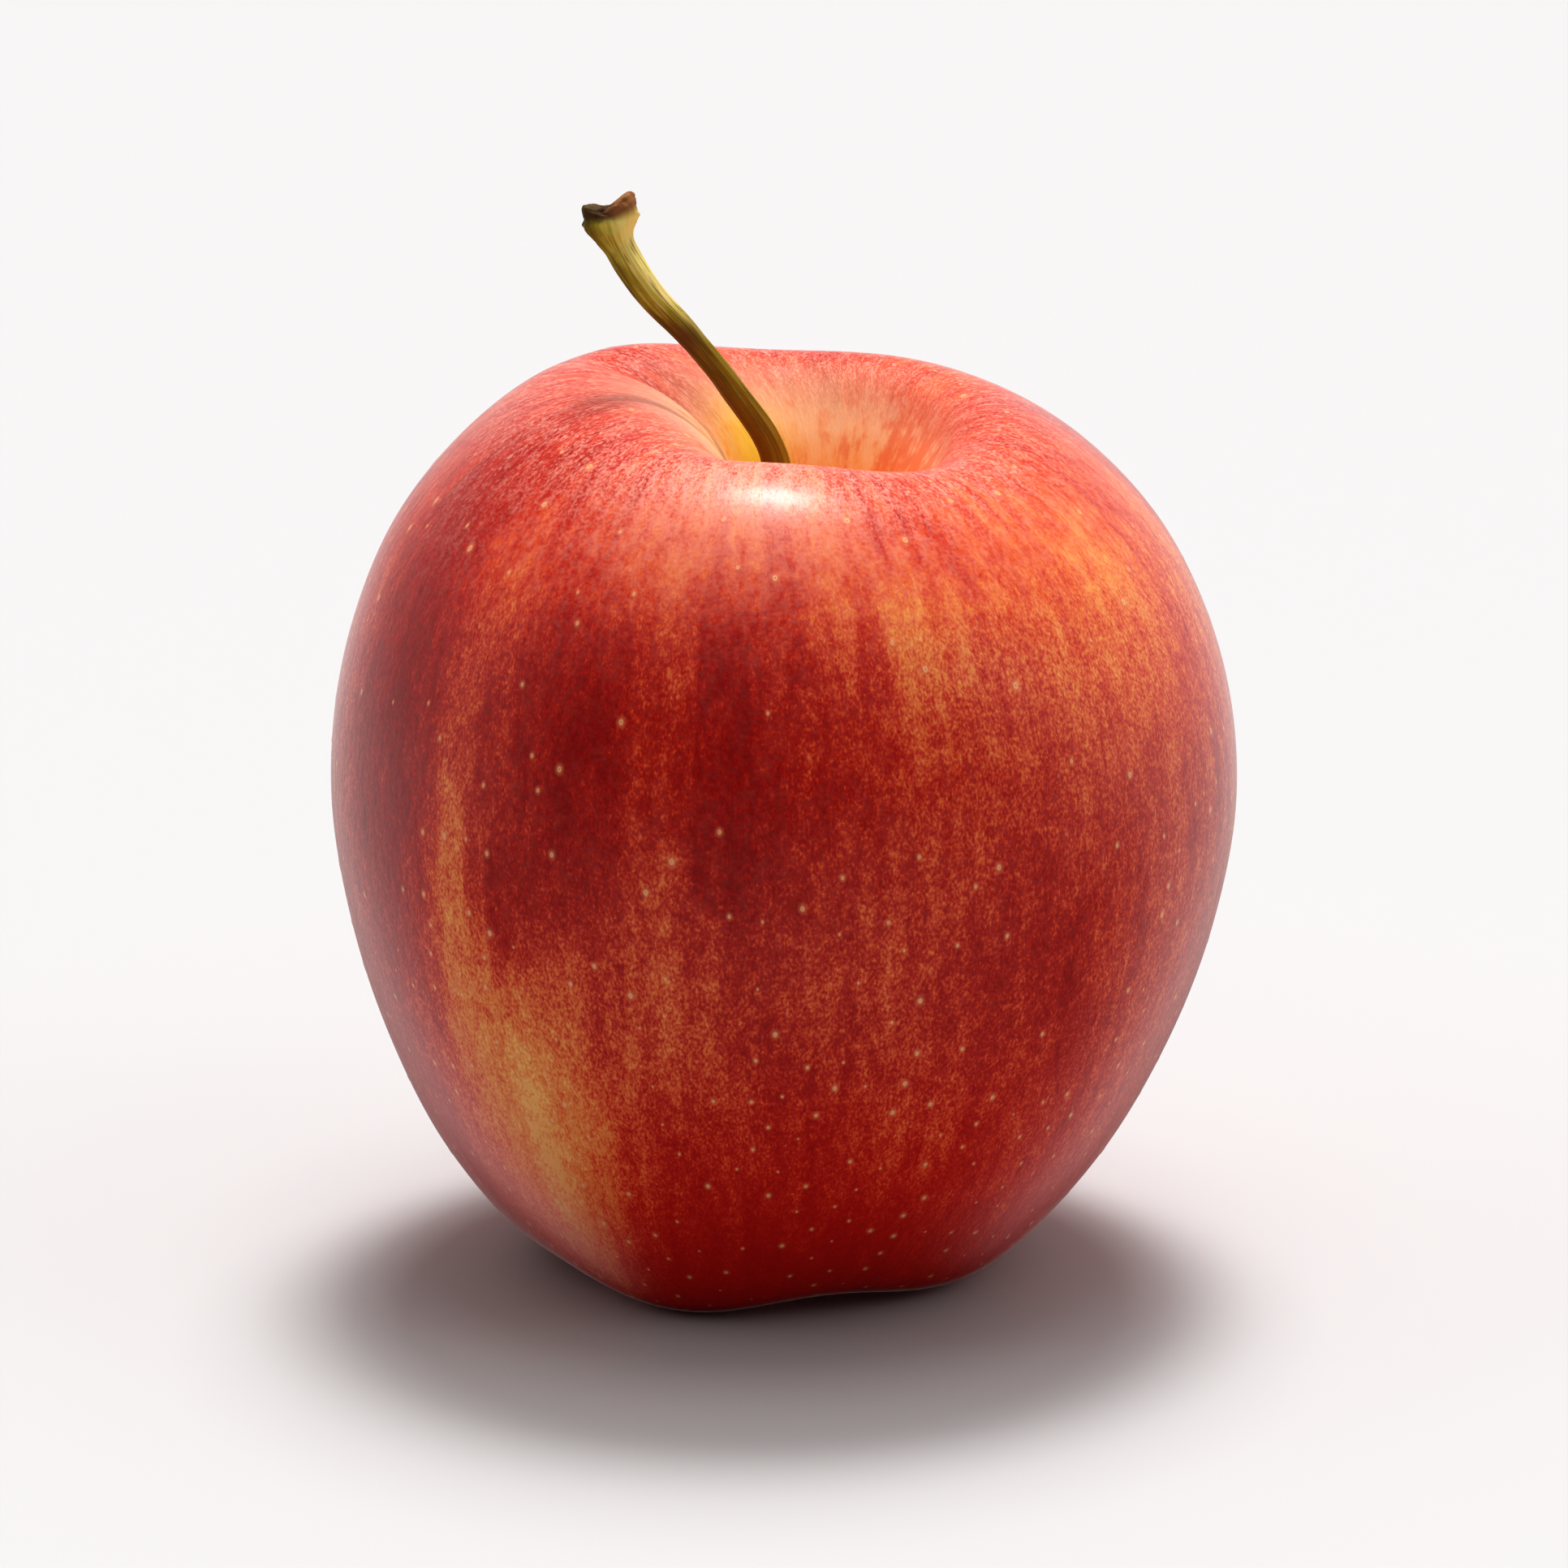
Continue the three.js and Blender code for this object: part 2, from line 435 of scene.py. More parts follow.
def stalk_shape(tree, given, share, angle):
    """Thick where it leaves the fruit, thin in the middle, flared to a two-lobed knob at its end."""
    girth = vector(tree, angle.math("COSINE"), angle.math("SINE"), share * 6.0)
    thin = given["Thin radius"]
    foot = share.bell(0.08, 0.26) * 0.42
    head = share.rise(0.6, 0.86) * 0.25 + share.rise(0.89, 0.96) * 0.85
    radius = thin * (1.0 + foot + head)
    ridges = (angle * 5.0 + share * 5.0).math("COSINE") * 0.05
    ridges = ridges + (angle * 2.0 - share * 9.0).math("COSINE") * 0.05
    wrinkles = noise(tree, vector_math(tree, "MULTIPLY", girth, (2.6, 2.6, 0.9)), 1.0, 3.0) - 0.5
    lumps = noise(tree, vector_math(tree, "MULTIPLY", girth, (1.6, 1.6, 9.0)), 1.0, 3.0) - 0.5
    knob = share.rise(0.9, 0.97)
    scar = share.bell(0.63, 0.06) * angle.turned_from(180).bell(0.0, 0.5) * -0.16
    radius = radius * (1.0 + ridges * (1.0 - knob) + wrinkles * 0.3 + lumps * knob * 0.7 + scar)
    two_sided = (angle * 2.0 - math.pi).math("COSINE")
    cap = ((share - 0.945) / 0.055).clamped()
    closing = (1.0 - cap * cap).math("MAXIMUM", 0.0).math("SQRT")
    radius = radius * (1.0 + knob * two_sided * 0.22) * closing * (share / 0.006).clamped()
    lobes = (two_sided * 0.5 + angle.math("SINE") * 0.3 + 0.2) * cap * cap * (1.0 - cap) * 6.0
    forward = (lobes + cap * 0.5 - cap * cap * cap * 1.5 + knob * lumps * 0.7) * MM
    return radius * angle.math("COSINE") * given["Flattening"], radius * angle.math("SINE"), forward


def make_stalk(bark):
    line = drawn_line("stalk_line", [(x, 0, z) for x, z in STALK_PATH])
    sizes = {
        "Line": line,
        "Sides": 72,
        "Rings": 420,
        "Across X": 0.0,
        "Across Y": 1.0,
        "Thin radius": 1.0 * MM,
        "Flattening": 0.88,
    }
    stalk = grow("stalk", sweep_tree("stalk_form", sizes, bark, stalk_shape), sizes)
    bpy.data.objects.remove(line)
    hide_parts("stem")
    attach(stalk, "root")


def sepal_shape(tree, given, share, angle):
    """A pointed leaf, thin and wrinkled, with its edges curled."""
    girth = vector(tree, angle.math("COSINE"), given["Seed"], share * 3.0)
    width = share.rise(-0.1, 0.25) * (1.0 - share.rise(0.2, 1.1) * 0.92) * given["Half width"]
    opening = (share / 0.03).clamped() * ((1.0 - share) / 0.03).clamped()
    wrinkles = noise(tree, girth, 2.5, 3.0) - 0.5
    side = width * opening * angle.math("COSINE") * (1.0 + wrinkles * 0.5)
    curl = angle.math("COSINE") * angle.math("COSINE") * width * 0.35
    thick = width * opening * angle.math("SINE") * given["Thinness"]
    return side, thick + curl * opening + wrinkles * (0.5 * MM) * opening, wrinkles * (0.3 * MM)


def make_sepals(leaf):
    for number in range(1, 6):
        box_low, box_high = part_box("sepal_%d" % number)
        middle = (box_low + box_high) / 2
        turn = math.atan2(middle.y, middle.x)
        ways = Vector((math.cos(turn), math.sin(turn), 0))
        line = drawn_line("sepal_line", [(out * ways.x, out * ways.y, z) for out, z in SEPAL_PATH])
        sizes = {
            "Line": line,
            "Sides": 28,
            "Rings": 48,
            "Across X": -ways.y,
            "Across Y": ways.x,
            "Half width": 1.5 * MM,
            "Thinness": 0.16,
            "Seed": 3.7 * number,
        }
        name = "dried_sepal_%d" % number
        sepal = grow(name, sweep_tree(name, sizes, leaf, sepal_shape), sizes)
        bpy.data.objects.remove(line)
        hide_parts("sepal_%d" % number)
        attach(sepal, "root")


# How far a thread leans out for each metre from the axis, and how unevenly, in radians.
THREAD_SPLAY = 260.0
THREAD_JITTER = 0.25


def thread_form(tree, given):
    """One thread with a grain at its tip, standing a little below its own root."""
    tube = tree.nodes.new("GeometryNodeMeshCylinder")
    tube.inputs["Vertices"].default_value = 8
    tube.inputs["Side Segments"].default_value = 10
    feed(tree, given["Thread radius"], tube.inputs["Radius"])
    feed(tree, given["Thread length"], tube.inputs["Depth"])
    grain = tree.nodes.new("GeometryNodeMeshIcoSphere")
    grain.inputs["Subdivisions"].default_value = 2
    feed(tree, given["Thread radius"] * 2.0, grain.inputs["Radius"])
    tip = lifted(tree, grain.outputs["Mesh"], given["Thread length"] * 0.5)
    joined = tree.nodes.new("GeometryNodeJoinGeometry")
    tree.links.new(tube.outputs["Mesh"], joined.inputs[0])
    tree.links.new(tip, joined.inputs[0])
    return lifted(tree, joined.outputs[0], given["Thread length"] * 0.45)


def thread_roots(tree, given):
    """Points spread over a small disc."""
    disc = tree.nodes.new("GeometryNodeMeshCircle")
    disc.fill_type = "TRIANGLE_FAN"
    disc.inputs["Vertices"].default_value = 16
    feed(tree, given["Tuft radius"], disc.inputs["Radius"])
    spread = tree.nodes.new("GeometryNodeDistributePointsOnFaces")
    spread.distribute_method = "POISSON"
    spread.inputs["Distance Min"].default_value = 0.28 * MM
    spread.inputs["Density Max"].default_value = 2.0e7
    spread.inputs["Seed"].default_value = 4
    tree.links.new(disc.outputs["Mesh"], spread.inputs["Mesh"])
    return spread.outputs["Points"]


def stamen_tree(sizes, thread):
    """A tuft of bent threads with a grain at each tip, hanging from the roof of the basin."""
    tree, given = new_tree("stamen_form", sizes)
    place = tree.nodes.new("GeometryNodeInputPosition").outputs[0]
    x, y, _ = parts(tree, place)
    jitter = tree.nodes.new("FunctionNodeRandomValue")
    jitter.data_type = "FLOAT_VECTOR"
    jitter.inputs["Min"].default_value = (-THREAD_JITTER, -THREAD_JITTER, 0)
    jitter.inputs["Max"].default_value = (THREAD_JITTER, THREAD_JITTER, 6.28)
    splay = vector(tree, math.pi - y * THREAD_SPLAY, x * -THREAD_SPLAY, 0.0)
    length = tree.nodes.new("FunctionNodeRandomValue")
    length.data_type = "FLOAT"
    length.inputs[2].default_value = 0.7
    length.inputs[3].default_value = 1.0
    growing = tree.nodes.new("GeometryNodeInstanceOnPoints")
    tree.links.new(thread_roots(tree, given), growing.inputs["Points"])
    tree.links.new(thread_form(tree, given), growing.inputs["Instance"])
    tree.links.new(vector_math(tree, "ADD", splay, jitter.outputs[0]), growing.inputs["Rotation"])
    feed(tree, vector(tree, 1.0, 1.0, Term(tree, length.outputs[1])), growing.inputs["Scale"])
    finish_tree(tree, lifted(tree, growing.outputs[0], given["Roof height"]), thread)
    return tree


def make_stamens(thread):
    tuft_low, tuft_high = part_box("stamen_tuft")
    sizes = {
        "Tuft radius": 0.8 * MM,
        "Thread radius": 0.09 * MM,
        "Thread length": tuft_high.z - tuft_low.z - 0.3 * MM,
        "Roof height": tuft_high.z,
    }
    tuft = grow("dried_stamens", stamen_tree(sizes, thread), sizes)
    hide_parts("stamen_tuft")
    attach(tuft, "root")


def sampled(tree, surface, value, kind="FLOAT_VECTOR"):
    """A value of the fruit's skin at the spot of it nearest to each point."""
    node = tree.nodes.new("GeometryNodeSampleNearestSurface")
    node.data_type = kind
    tree.links.new(surface, node.inputs["Mesh"])
    feed(tree, value, node.inputs["Value"])
    return node.outputs["Value"]


def pore_places(tree, given, surface, meridian):
    """Points on the skin: few at the shoulder, many at the base, none in the cavities."""
    _, _, along = parts(tree, meridian)
    crowding = 0.17 + (1.0 - along.rise(12, 80)) * 0.83
    crowding = crowding * along.rise(6, 16) * (1.0 - along.rise(108, 118))
    spread = tree.nodes.new("GeometryNodeDistributePointsOnFaces")
    spread.distribute_method = "POISSON"
    tree.links.new(surface, spread.inputs["Mesh"])
    feed(tree, given["Least spacing"], spread.inputs["Distance Min"])
    feed(tree, given["Density"], spread.inputs["Density Max"])
    feed(tree, crowding, spread.inputs["Density Factor"])
    feed(tree, given["Seed"], spread.inputs["Seed"])
    return spread


def pore_spot(tree, given, place):
    """A flat disc that knows how near its middle each point is, from 1 to 0."""
    disc = tree.nodes.new("GeometryNodeMeshCone")
    disc.fill_type = "NONE"
    disc.inputs["Vertices"].default_value = 10
    disc.inputs["Side Segments"].default_value = 4
    disc.inputs["Radius Top"].default_value = 0
    feed(tree, given["Spot radius"], disc.inputs["Radius Bottom"])
    disc.inputs["Depth"].default_value = 0
    spot_x, spot_y, _ = parts(tree, place)
    reach = (spot_x * spot_x + spot_y * spot_y).math("SQRT") / given["Spot radius"]
    return keep(tree, disc.outputs["Mesh"], "pore", 1.0 - reach)


def pore_growth(tree, surface, meridian):
    """The size of each pore: chance, and larger towards the shoulder."""
    chance = tree.nodes.new("FunctionNodeRandomValue")
    chance.data_type = "FLOAT"
    chance.inputs[2].default_value = 0.4
    chance.inputs[3].default_value = 1.1
    _, _, along = parts(tree, sampled(tree, surface, meridian))
    growth = Term(tree, chance.outputs[1]) * (0.8 + along.rise(30, 90) * 0.35)
    return vector(tree, growth, growth * 1.3, growth)


def pore_facing(tree, normal):
    """Turns a disc to lie on the skin, its longer way up the flank."""
    upright = tree.nodes.new("FunctionNodeAlignRotationToVector")
    upright.axis = "Z"
    tree.links.new(normal, upright.inputs["Vector"])
    along_skin = tree.nodes.new("FunctionNodeAlignRotationToVector")
    along_skin.axis = "Y"
    along_skin.pivot_axis = "Z"
    along_skin.inputs["Vector"].default_value = (0, 0, 1)
    tree.links.new(upright.outputs[0], along_skin.inputs["Rotation"])
    return along_skin.outputs[0]


def pore_tree(sizes, skin):
    """Pale corky pores on the skin, each a small disc moulded to it and raised a little in the middle."""
    tree, given = new_tree("pore_form", sizes)
    info = tree.nodes.new("GeometryNodeObjectInfo")
    feed(tree, given["Fruit"], info.inputs["Object"])
    surface = info.outputs["Geometry"]
    stored = tree.nodes.new("GeometryNodeInputNamedAttribute")
    stored.data_type = "FLOAT_VECTOR"
    stored.inputs["Name"].default_value = "meridian"
    meridian = stored.outputs[0]
    place = tree.nodes.new("GeometryNodeInputPosition").outputs[0]

    spread = pore_places(tree, given, surface, meridian)
    scattered = tree.nodes.new("GeometryNodeInstanceOnPoints")
    tree.links.new(spread.outputs["Points"], scattered.inputs["Points"])
    tree.links.new(pore_spot(tree, given, place), scattered.inputs["Instance"])
    tree.links.new(pore_facing(tree, spread.outputs["Normal"]), scattered.inputs["Rotation"])
    tree.links.new(pore_growth(tree, surface, meridian), scattered.inputs["Scale"])
    real = tree.nodes.new("GeometryNodeRealizeInstances")
    tree.links.new(scattered.outputs[0], real.inputs[0])

    skin_place = sampled(tree, surface, place)
    skin_normal = sampled(tree, surface, tree.nodes.new("GeometryNodeInputNormal").outputs[0])
    pore = tree.nodes.new("GeometryNodeInputNamedAttribute")
    pore.inputs["Name"].default_value = "pore"
    core = Term(tree, pore.outputs[0])
    height = core.rise(0.1, 0.75) * given["Spot height"] - given["Spot height"] * 0.1
    raised = vector_math(tree, "ADD", skin_place, scaled(tree, skin_normal, height))
    laid = placed(tree, real.outputs[0], raised)
    named = keep(tree, laid, "meridian", sampled(tree, surface, meridian), "FLOAT_VECTOR")
    finish_tree(tree, named, skin)
    return tree


def make_pores(fruit, skin):
    sizes = {
        "Fruit": fruit,
        "Least spacing": 2.4 * MM,
        "Density": 1.2e6,
        "Seed": 11,
        "Spot radius": 0.62 * MM,
        "Spot height": 0.03 * MM,
    }
    pores = grow("skin_pores", pore_tree(sizes, skin), sizes)
    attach(pores, "root")


# ---------------------------------------------------------------- materials


def new_material(name):
    material = bpy.data.materials.new(name)
    material.use_nodes = True
    tree = material.node_tree
    return material, tree, tree.nodes["Principled BSDF"]


def named_value(tree, name):
    node = tree.nodes.new("ShaderNodeAttribute")
    node.attribute_name = name
    return node


def mixed(tree, share, first, second):
    """first where the share is 0, second where it is 1. Colours are (r, g, b) or sockets."""
    node = tree.nodes.new("ShaderNodeMix")
    node.data_type = "RGBA"
    feed(tree, share, node.inputs[0])
    for value, socket in ((first, node.inputs[6]), (second, node.inputs[7])):
        feed(tree, (*value, 1) if isinstance(value, tuple) else value, socket)
    return node.outputs[2]


def colour_steps(tree, share, steps):
    """A smooth run of colours: (share, (r, g, b)) from the first to the last."""
    node = tree.nodes.new("ShaderNodeValToRGB")
    node.color_ramp.interpolation = "B_SPLINE"
    marks = node.color_ramp.elements
    while len(marks) < len(steps):
        marks.new(0.5)
    for mark, (place, colour) in zip(marks, steps):
        mark.position = place
        mark.color = (*colour, 1)
    feed(tree, share, node.inputs[0])
    return node.outputs[0]


def bumped(tree, height, distance, shader, strength=1.0):
    node = tree.nodes.new("ShaderNodeBump")
    node.inputs["Distance"].default_value = distance
    node.inputs["Strength"].default_value = strength
    feed(tree, height, node.inputs["Height"])
    tree.links.new(node.outputs[0], shader.inputs["Normal"])


# Where the skin is redder (+) or yellower (-) than usual:
# (direction in degrees, millimetres along the section, half angle, half length, amount).
# The yellower patches at (-128, 94) and (-140, 94), on the upper left shoulder, are painted light from the
# upper left.
PATCHES = [
    (-95, 79, 10, 15, 0.22), (-119, 79, 9, 17, 0.34), (-84, 24, 38, 16, 0.34), (-58, 60, 16, 16, 0.14),
    (-71, 88, 3, 7, -0.2), (-52, 90, 24, 14, -0.14), (-29, 93, 7, 9, -0.12), (-9, 88, 9, 12, -0.2),
    (-136, 70, 4, 16, -0.26), (-130, 46, 8, 15, -0.27), (-124, 33, 8, 11, -0.2),
    (-106, 66, 4, 10, -0.1), (-72, 50, 16, 14, -0.08), (-122, 57, 9, 9, -0.06),
    (-107, 58, 6, 12, -0.05), (-104, 44, 5, 10, 0.06), (-117, 36, 7, 13, -0.1),
    (-113, 97, 8, 7, -0.12), (-76, 77, 5, 8, 0.14), (-124, 58, 7, 10, -0.1), (-115, 51, 7, 11, -0.12),
    (-138, 56, 7, 9, -0.1), (-140, 94, 12, 9, -0.04), (-126, 44, 5, 8, -0.14),
    (-133, 38, 10, 14, -0.1), (-123, 42, 7, 10, -0.12), (-128, 94, 14, 9, -0.1),
    (-64, 101, 9, 7, 0.14), (-150, 78, 12, 26, 0.3), (-124, 102, 14, 8, 0.08), (-80, 48, 14, 10, 0.08),
    (40, 70, 14, 34, -0.22), (75, 84, 10, 22, 0.2), (104, 60, 9, 26, -0.3), (140, 74, 15, 28, 0.12),
    (172, 60, 8, 30, -0.2), (8, 45, 12, 16, 0.12),
]
# Meridians where a red stripe ends sharply: (direction, from, to along the section, redness beyond it).
STRIPE_EDGES = [(-101.2, 62, 95, 0.12), (-129.6, 54, 74, 0.16), (58, 40, 90, 0.14), (122, 50, 96, -0.14)]


def redness(tree, angle, along):
    """How red the skin is in each zone, before its flecks and streaks: about 0 yellow, 1 deep red."""
    total = 0.56 + along.rise(20, 0) * -0.2
    for direction, middle, half_angle, half_length, amount in PATCHES:
        spot = angle.turned_from(direction).bell(0.0, math.radians(half_angle))
        total = total + spot * along.bell(middle, half_length) * amount
    for direction, start, end, amount in STRIPE_EDGES:
        beyond = angle.turned_from(direction)
        side = beyond.rise(-0.004, 0.012) * (1.0 - beyond.rise(0.05, 0.2))
        total = total + side * along.rise(start, start + 8.0) * (1.0 - along.rise(end - 8.0, end)) * amount
    return total


def skin_patterns(tree):
    """Where a spot of the skin lies, and the noises that its colours are made from."""
    meridian = named_value(tree, "meridian").outputs["Vector"]
    east, north, along = parts(tree, meridian)

    def grain(across, length, detail=2.0):
        """Noise round 0, stretched by its scales across the meridians and along them."""
        stretched = vector_math(tree, "MULTIPLY", meridian, (across, across, length))
        return noise(tree, stretched, 1.0, detail) - 0.5

    return SimpleNamespace(
        grain=grain,
        angle=north.math("ARCTAN2", east),
        along=along,
        top=along.rise(84, 108),
        fleck=grain(4.4, 3.0, 2.0),
        speck=grain(2.2, 3.2, 2.0),
        clump=grain(0.55, 0.3, 3.0),
    )


# From the yellowest skin to the reddest.
SKIN_COLOURS = [
    (0.0, (0.9, 0.52, 0.17)),
    (0.1, (0.85, 0.36, 0.09)),
    (0.28, (0.8, 0.22, 0.055)),
    (0.45, (0.7, 0.07, 0.022)),
    (0.62, (0.5, 0.008, 0.004)),
    (0.88, (0.28, 0.001, 0.001)),
]
# A brighter red laid over the base of the fruit: painted bounce light.
BOUNCE_LIGHT_RED = (0.82, 0.012, 0.006)
# Pale flecks; the same colour also paints the sheen towards the shoulder and the highlight halo on the
# front rim.
PALE_FLECK_AND_SHEEN = (0.95, 0.46, 0.35)


def flank_colour(tree, skin):
    """Red stripes and flecks over yellow, redder at the base, where a brighter red is painted bounce light,
    and paler at the shoulder, partly real pale flecks and partly painted sheen, with a painted highlight
    halo on the front rim.
    """
    grit = skin.grain(1.5, 1.1, 3.0)
    streak = skin.grain(0.5, 0.06, 3.0)
    band = skin.grain(0.13, 0.018)
    # A painted highlight halo on the front rim, where the lamps' gloss falls: the skin there is less red
    # and paler.
    highlight_halo = skin.angle.turned_from(-97).bell(0.0, 0.45) * skin.along.bell(101, 9) * 0.3
    highlight_halo = highlight_halo + skin.angle.turned_from(-40).bell(0.0, 0.45) * skin.along.bell(100, 12) * 0.06
    cover = redness(tree, skin.angle, skin.along) + band * 0.3 + streak * 0.4 + skin.clump * 0.35
    cover = cover + skin.fleck * (1.0 - skin.top) * 0.85 + grit * (0.45 - skin.top * 0.25) - highlight_halo * 0.5
    colour = colour_steps(tree, cover, SKIN_COLOURS)
    # Painted bounce light: the skin turns a brighter red towards the base.
    colour = mixed(tree, skin.along.rise(60, 20) * 0.55, colour, BOUNCE_LIGHT_RED)
    # Pale flecks, denser towards the shoulder and the front rim, where they also stand for painted sheen;
    # the painted highlight halo is laid in too.
    pale = skin.speck * 0.9 + skin.fleck * 0.9 + skin.grain(1.4, 1.0) * 0.6
    pale = (pale + skin.grain(0.7, 0.4) * 0.5 + highlight_halo * 1.2).rise(-0.2, 0.5)
    reach = skin.along.rise(40, 75) * 0.05 + skin.top * 0.42 + skin.along.rise(98, 107) * 0.25
    return mixed(tree, pale * reach, colour, PALE_FLECK_AND_SHEEN)


# From the rim of the stalk cavity to its floor, as shares of this length in millimetres along the section.
CAVITY_RAMP_LENGTH = 140.0
CAVITY_COLOURS = [
    (0.77, (0.92, 0.34, 0.23)),
    (0.805, (0.9, 0.45, 0.3)),
    (0.835, (0.98, 0.6, 0.34)),
    (0.865, (0.98, 0.34, 0.06)),
    (0.9, (0.85, 0.28, 0.02)),
]
CAVITY_RED = (0.85, 0.15, 0.06)
CAVITY_YELLOW = (0.85, 0.62, 0.03)
CAVITY_CREAM = (0.97, 0.62, 0.33)
# Grey-brown: painted shade along the crease, and random blotches in the cavity.
RUSSET_AND_CREASE_SHADE = (0.3, 0.18, 0.12)


def cavity_colour(tree, skin):
    """Pale orange walls with red rays, a yellow side, grey-brown painted shade along the crease, and
    grey-brown blotches here and there.
    """
    ray = skin.grain(0.12, 0.35) * 0.8 + skin.grain(0.16, 0.05) * 0.5
    ray = ray + skin.grain(0.5, 0.8) * 0.7 + skin.speck * 0.3
    colour = colour_steps(tree, skin.along / CAVITY_RAMP_LENGTH + ray * 0.05, CAVITY_COLOURS)
    rays = ray + skin.clump * 0.5 + skin.angle.turned_from(15).bell(0.0, 0.7) * 0.3
    colour = mixed(tree, rays.rise(0.02, 0.35) * 0.7, colour, CAVITY_RED)
    yolk = skin.angle.turned_from(118).bell(0.0, 0.35) * skin.along.rise(113, 119)
    colour = mixed(tree, yolk * 0.85, colour, CAVITY_YELLOW)
    cream = skin.angle.turned_from(82).bell(0.0, 0.4) * skin.along.bell(112, 8)
    colour = mixed(tree, cream * 0.55, colour, CAVITY_CREAM)
    # Painted shade along the edge of the crease, with random grey-brown blotches from noise.
    crease_shade = skin.angle.turned_from(142).bell(0.0, 0.065) * skin.along.bell(112, 10)
    return mixed(tree, (crease_shade + skin.clump * 0.6).rise(0.2, 0.75) * 0.75, colour, RUSSET_AND_CREASE_SHADE)


PORE_HALO = (0.8, 0.26, 0.12)
PORE_CORK = (0.84, 0.44, 0.2)
PORE_CRACK = (0.3, 0.1, 0.04)


def pore_colour(tree, skin, colour):
    """Lays a halo, a corky middle and, on the larger pores, a dark crack over the skin's colour."""
    pore = Term(tree, named_value(tree, "pore").outputs["Fac"])
    colour = mixed(tree, pore.rise(0.1, 0.7) * 0.35, colour, PORE_HALO)
    colour = mixed(tree, pore.rise(0.6, 0.78) * 0.75, colour, PORE_CORK)
    return mixed(tree, pore.rise(0.86, 0.95) * skin.along.rise(60, 85) * 0.6, colour, PORE_CRACK)


def skin_material():
    """The coloured skin under a thin coat of wax, duller in the stalk cavity."""
    material, tree, shader = new_material("waxy_skin")
    skin = skin_patterns(tree)
    inside = skin.along.rise(108, 121)
    colour = mixed(tree, inside, flank_colour(tree, skin), cavity_colour(tree, skin))
    tree.links.new(pore_colour(tree, skin, colour), shader.inputs["Base Color"])
    roughness = 0.34 + skin.fleck * 0.12 + skin.along.rise(107, 112) * 0.25
    feed(tree, roughness, shader.inputs["Roughness"])
    shader.inputs["Specular IOR Level"].default_value = 0.25
    feed(tree, 0.6 - skin.along.rise(103, 109) * 0.5, shader.inputs["Coat Weight"])
    shader.inputs["Coat Roughness"].default_value = 0.26
    shader.inputs["Coat IOR"].default_value = 1.4
    shader.inputs["Sheen Weight"].default_value = 0.09
    shader.inputs["Sheen Roughness"].default_value = 0.25
    bumped(tree, skin.grain(1.4, 0.8) + skin.fleck * 0.4, 0.05 * MM, shader)
    return material


# From the darkest wood of the stalk to the lightest.
STALK_COLOURS = [
    (0.1, (0.09, 0.05, 0.001)),
    (0.35, (0.2, 0.14, 0.002)),
    (0.6, (0.5, 0.42, 0.03)),
    (0.9, (0.8, 0.68, 0.2)),
]
STALK_SHADE = (0.2, 0.11, 0.001)
STALK_SCAR = (0.75, 0.52, 0.26)
STALK_BARK = (0.2, 0.1, 0.02)
STALK_GROOVE = (0.13, 0.055, 0.01)
KNOB_DARK = (0.07, 0.032, 0.008)
KNOB_LIGHT = (0.26, 0.1, 0.03)


def stalk_material():
    """Green-brown wood, yellower and barkier towards the knob, lighter on the side facing +X and up (partly
    its own colour, partly painted light), with a pale scar and a dark groove.
    """
    material, tree, shader = new_material("woody_stalk")
    girth = named_value(tree, "girth").outputs["Vector"]
    side, out, share = parts(tree, girth)
    fibre = noise(tree, vector_math(tree, "MULTIPLY", girth, (5.0, 5.0, 7.0)), 1.0, 4.0) - 0.5
    blotch = noise(tree, vector_math(tree, "MULTIPLY", girth, (1.2, 1.2, 12.0)), 1.0, 3.0) - 0.5
    # Lighter on the side facing +X and up: partly the wood's own colour, partly painted light.
    tone_and_side_light = out * 0.4 + 0.2 + fibre * 1.1 + blotch * 0.7 + share.rise(0.62, 0.8) * 0.5
    colour = colour_steps(tree, tone_and_side_light, STALK_COLOURS)
    colour = mixed(tree, (1.0 - share.rise(0.62, 0.78)) * 0.6, colour, STALK_SHADE)
    near = -side + blotch * 1.6
    scar = share.bell(0.77, 0.08) * near.rise(0.0, 0.8) * out.rise(-0.6, 0.3)
    scar = scar * (fibre + blotch).rise(-0.15, 0.15)
    colour = mixed(tree, scar * 0.8, colour, STALK_SCAR)
    bark = (fibre * 1.4 - blotch).rise(0.16, 0.3) * share.rise(0.6, 0.75)
    colour = mixed(tree, bark * 0.7, colour, STALK_BARK)
    groove = share.bell(0.68, 0.03) * near.rise(0.3, 0.9)
    colour = mixed(tree, groove * 0.8, colour, STALK_GROOVE)
    knob = share.rise(0.947, 0.966) * (0.95 + blotch * 1.2).clamped()
    knob_colour = mixed(tree, out.rise(-0.5, 0.5), KNOB_DARK, KNOB_LIGHT)
    tree.links.new(mixed(tree, knob, colour, knob_colour), shader.inputs["Base Color"])
    shader.inputs["Roughness"].default_value = 0.5
    shader.inputs["Specular IOR Level"].default_value = 0.25
    bumped(tree, fibre + blotch * 0.5, 0.15 * MM, shader)
    return material


def dried_material(name, dark, light, roughness):
    """Papery, withered parts of the flower."""
    material, tree, shader = new_material(name)
    place = tree.nodes.new("ShaderNodeTexCoord").outputs["Object"]
    mottle = noise(tree, place, 1800.0, 4.0)
    broad = noise(tree, place, 450.0, 2.0)
    share = (mottle * 0.6 + broad * 0.5).rise(0.35, 0.75)
    tree.links.new(mixed(tree, share, dark, light), shader.inputs["Base Color"])
    shader.inputs["Roughness"].default_value = roughness
    bumped(tree, mottle, 0.2 * MM, shader)
    return material


# ---------------------------------------------------------------- the studio

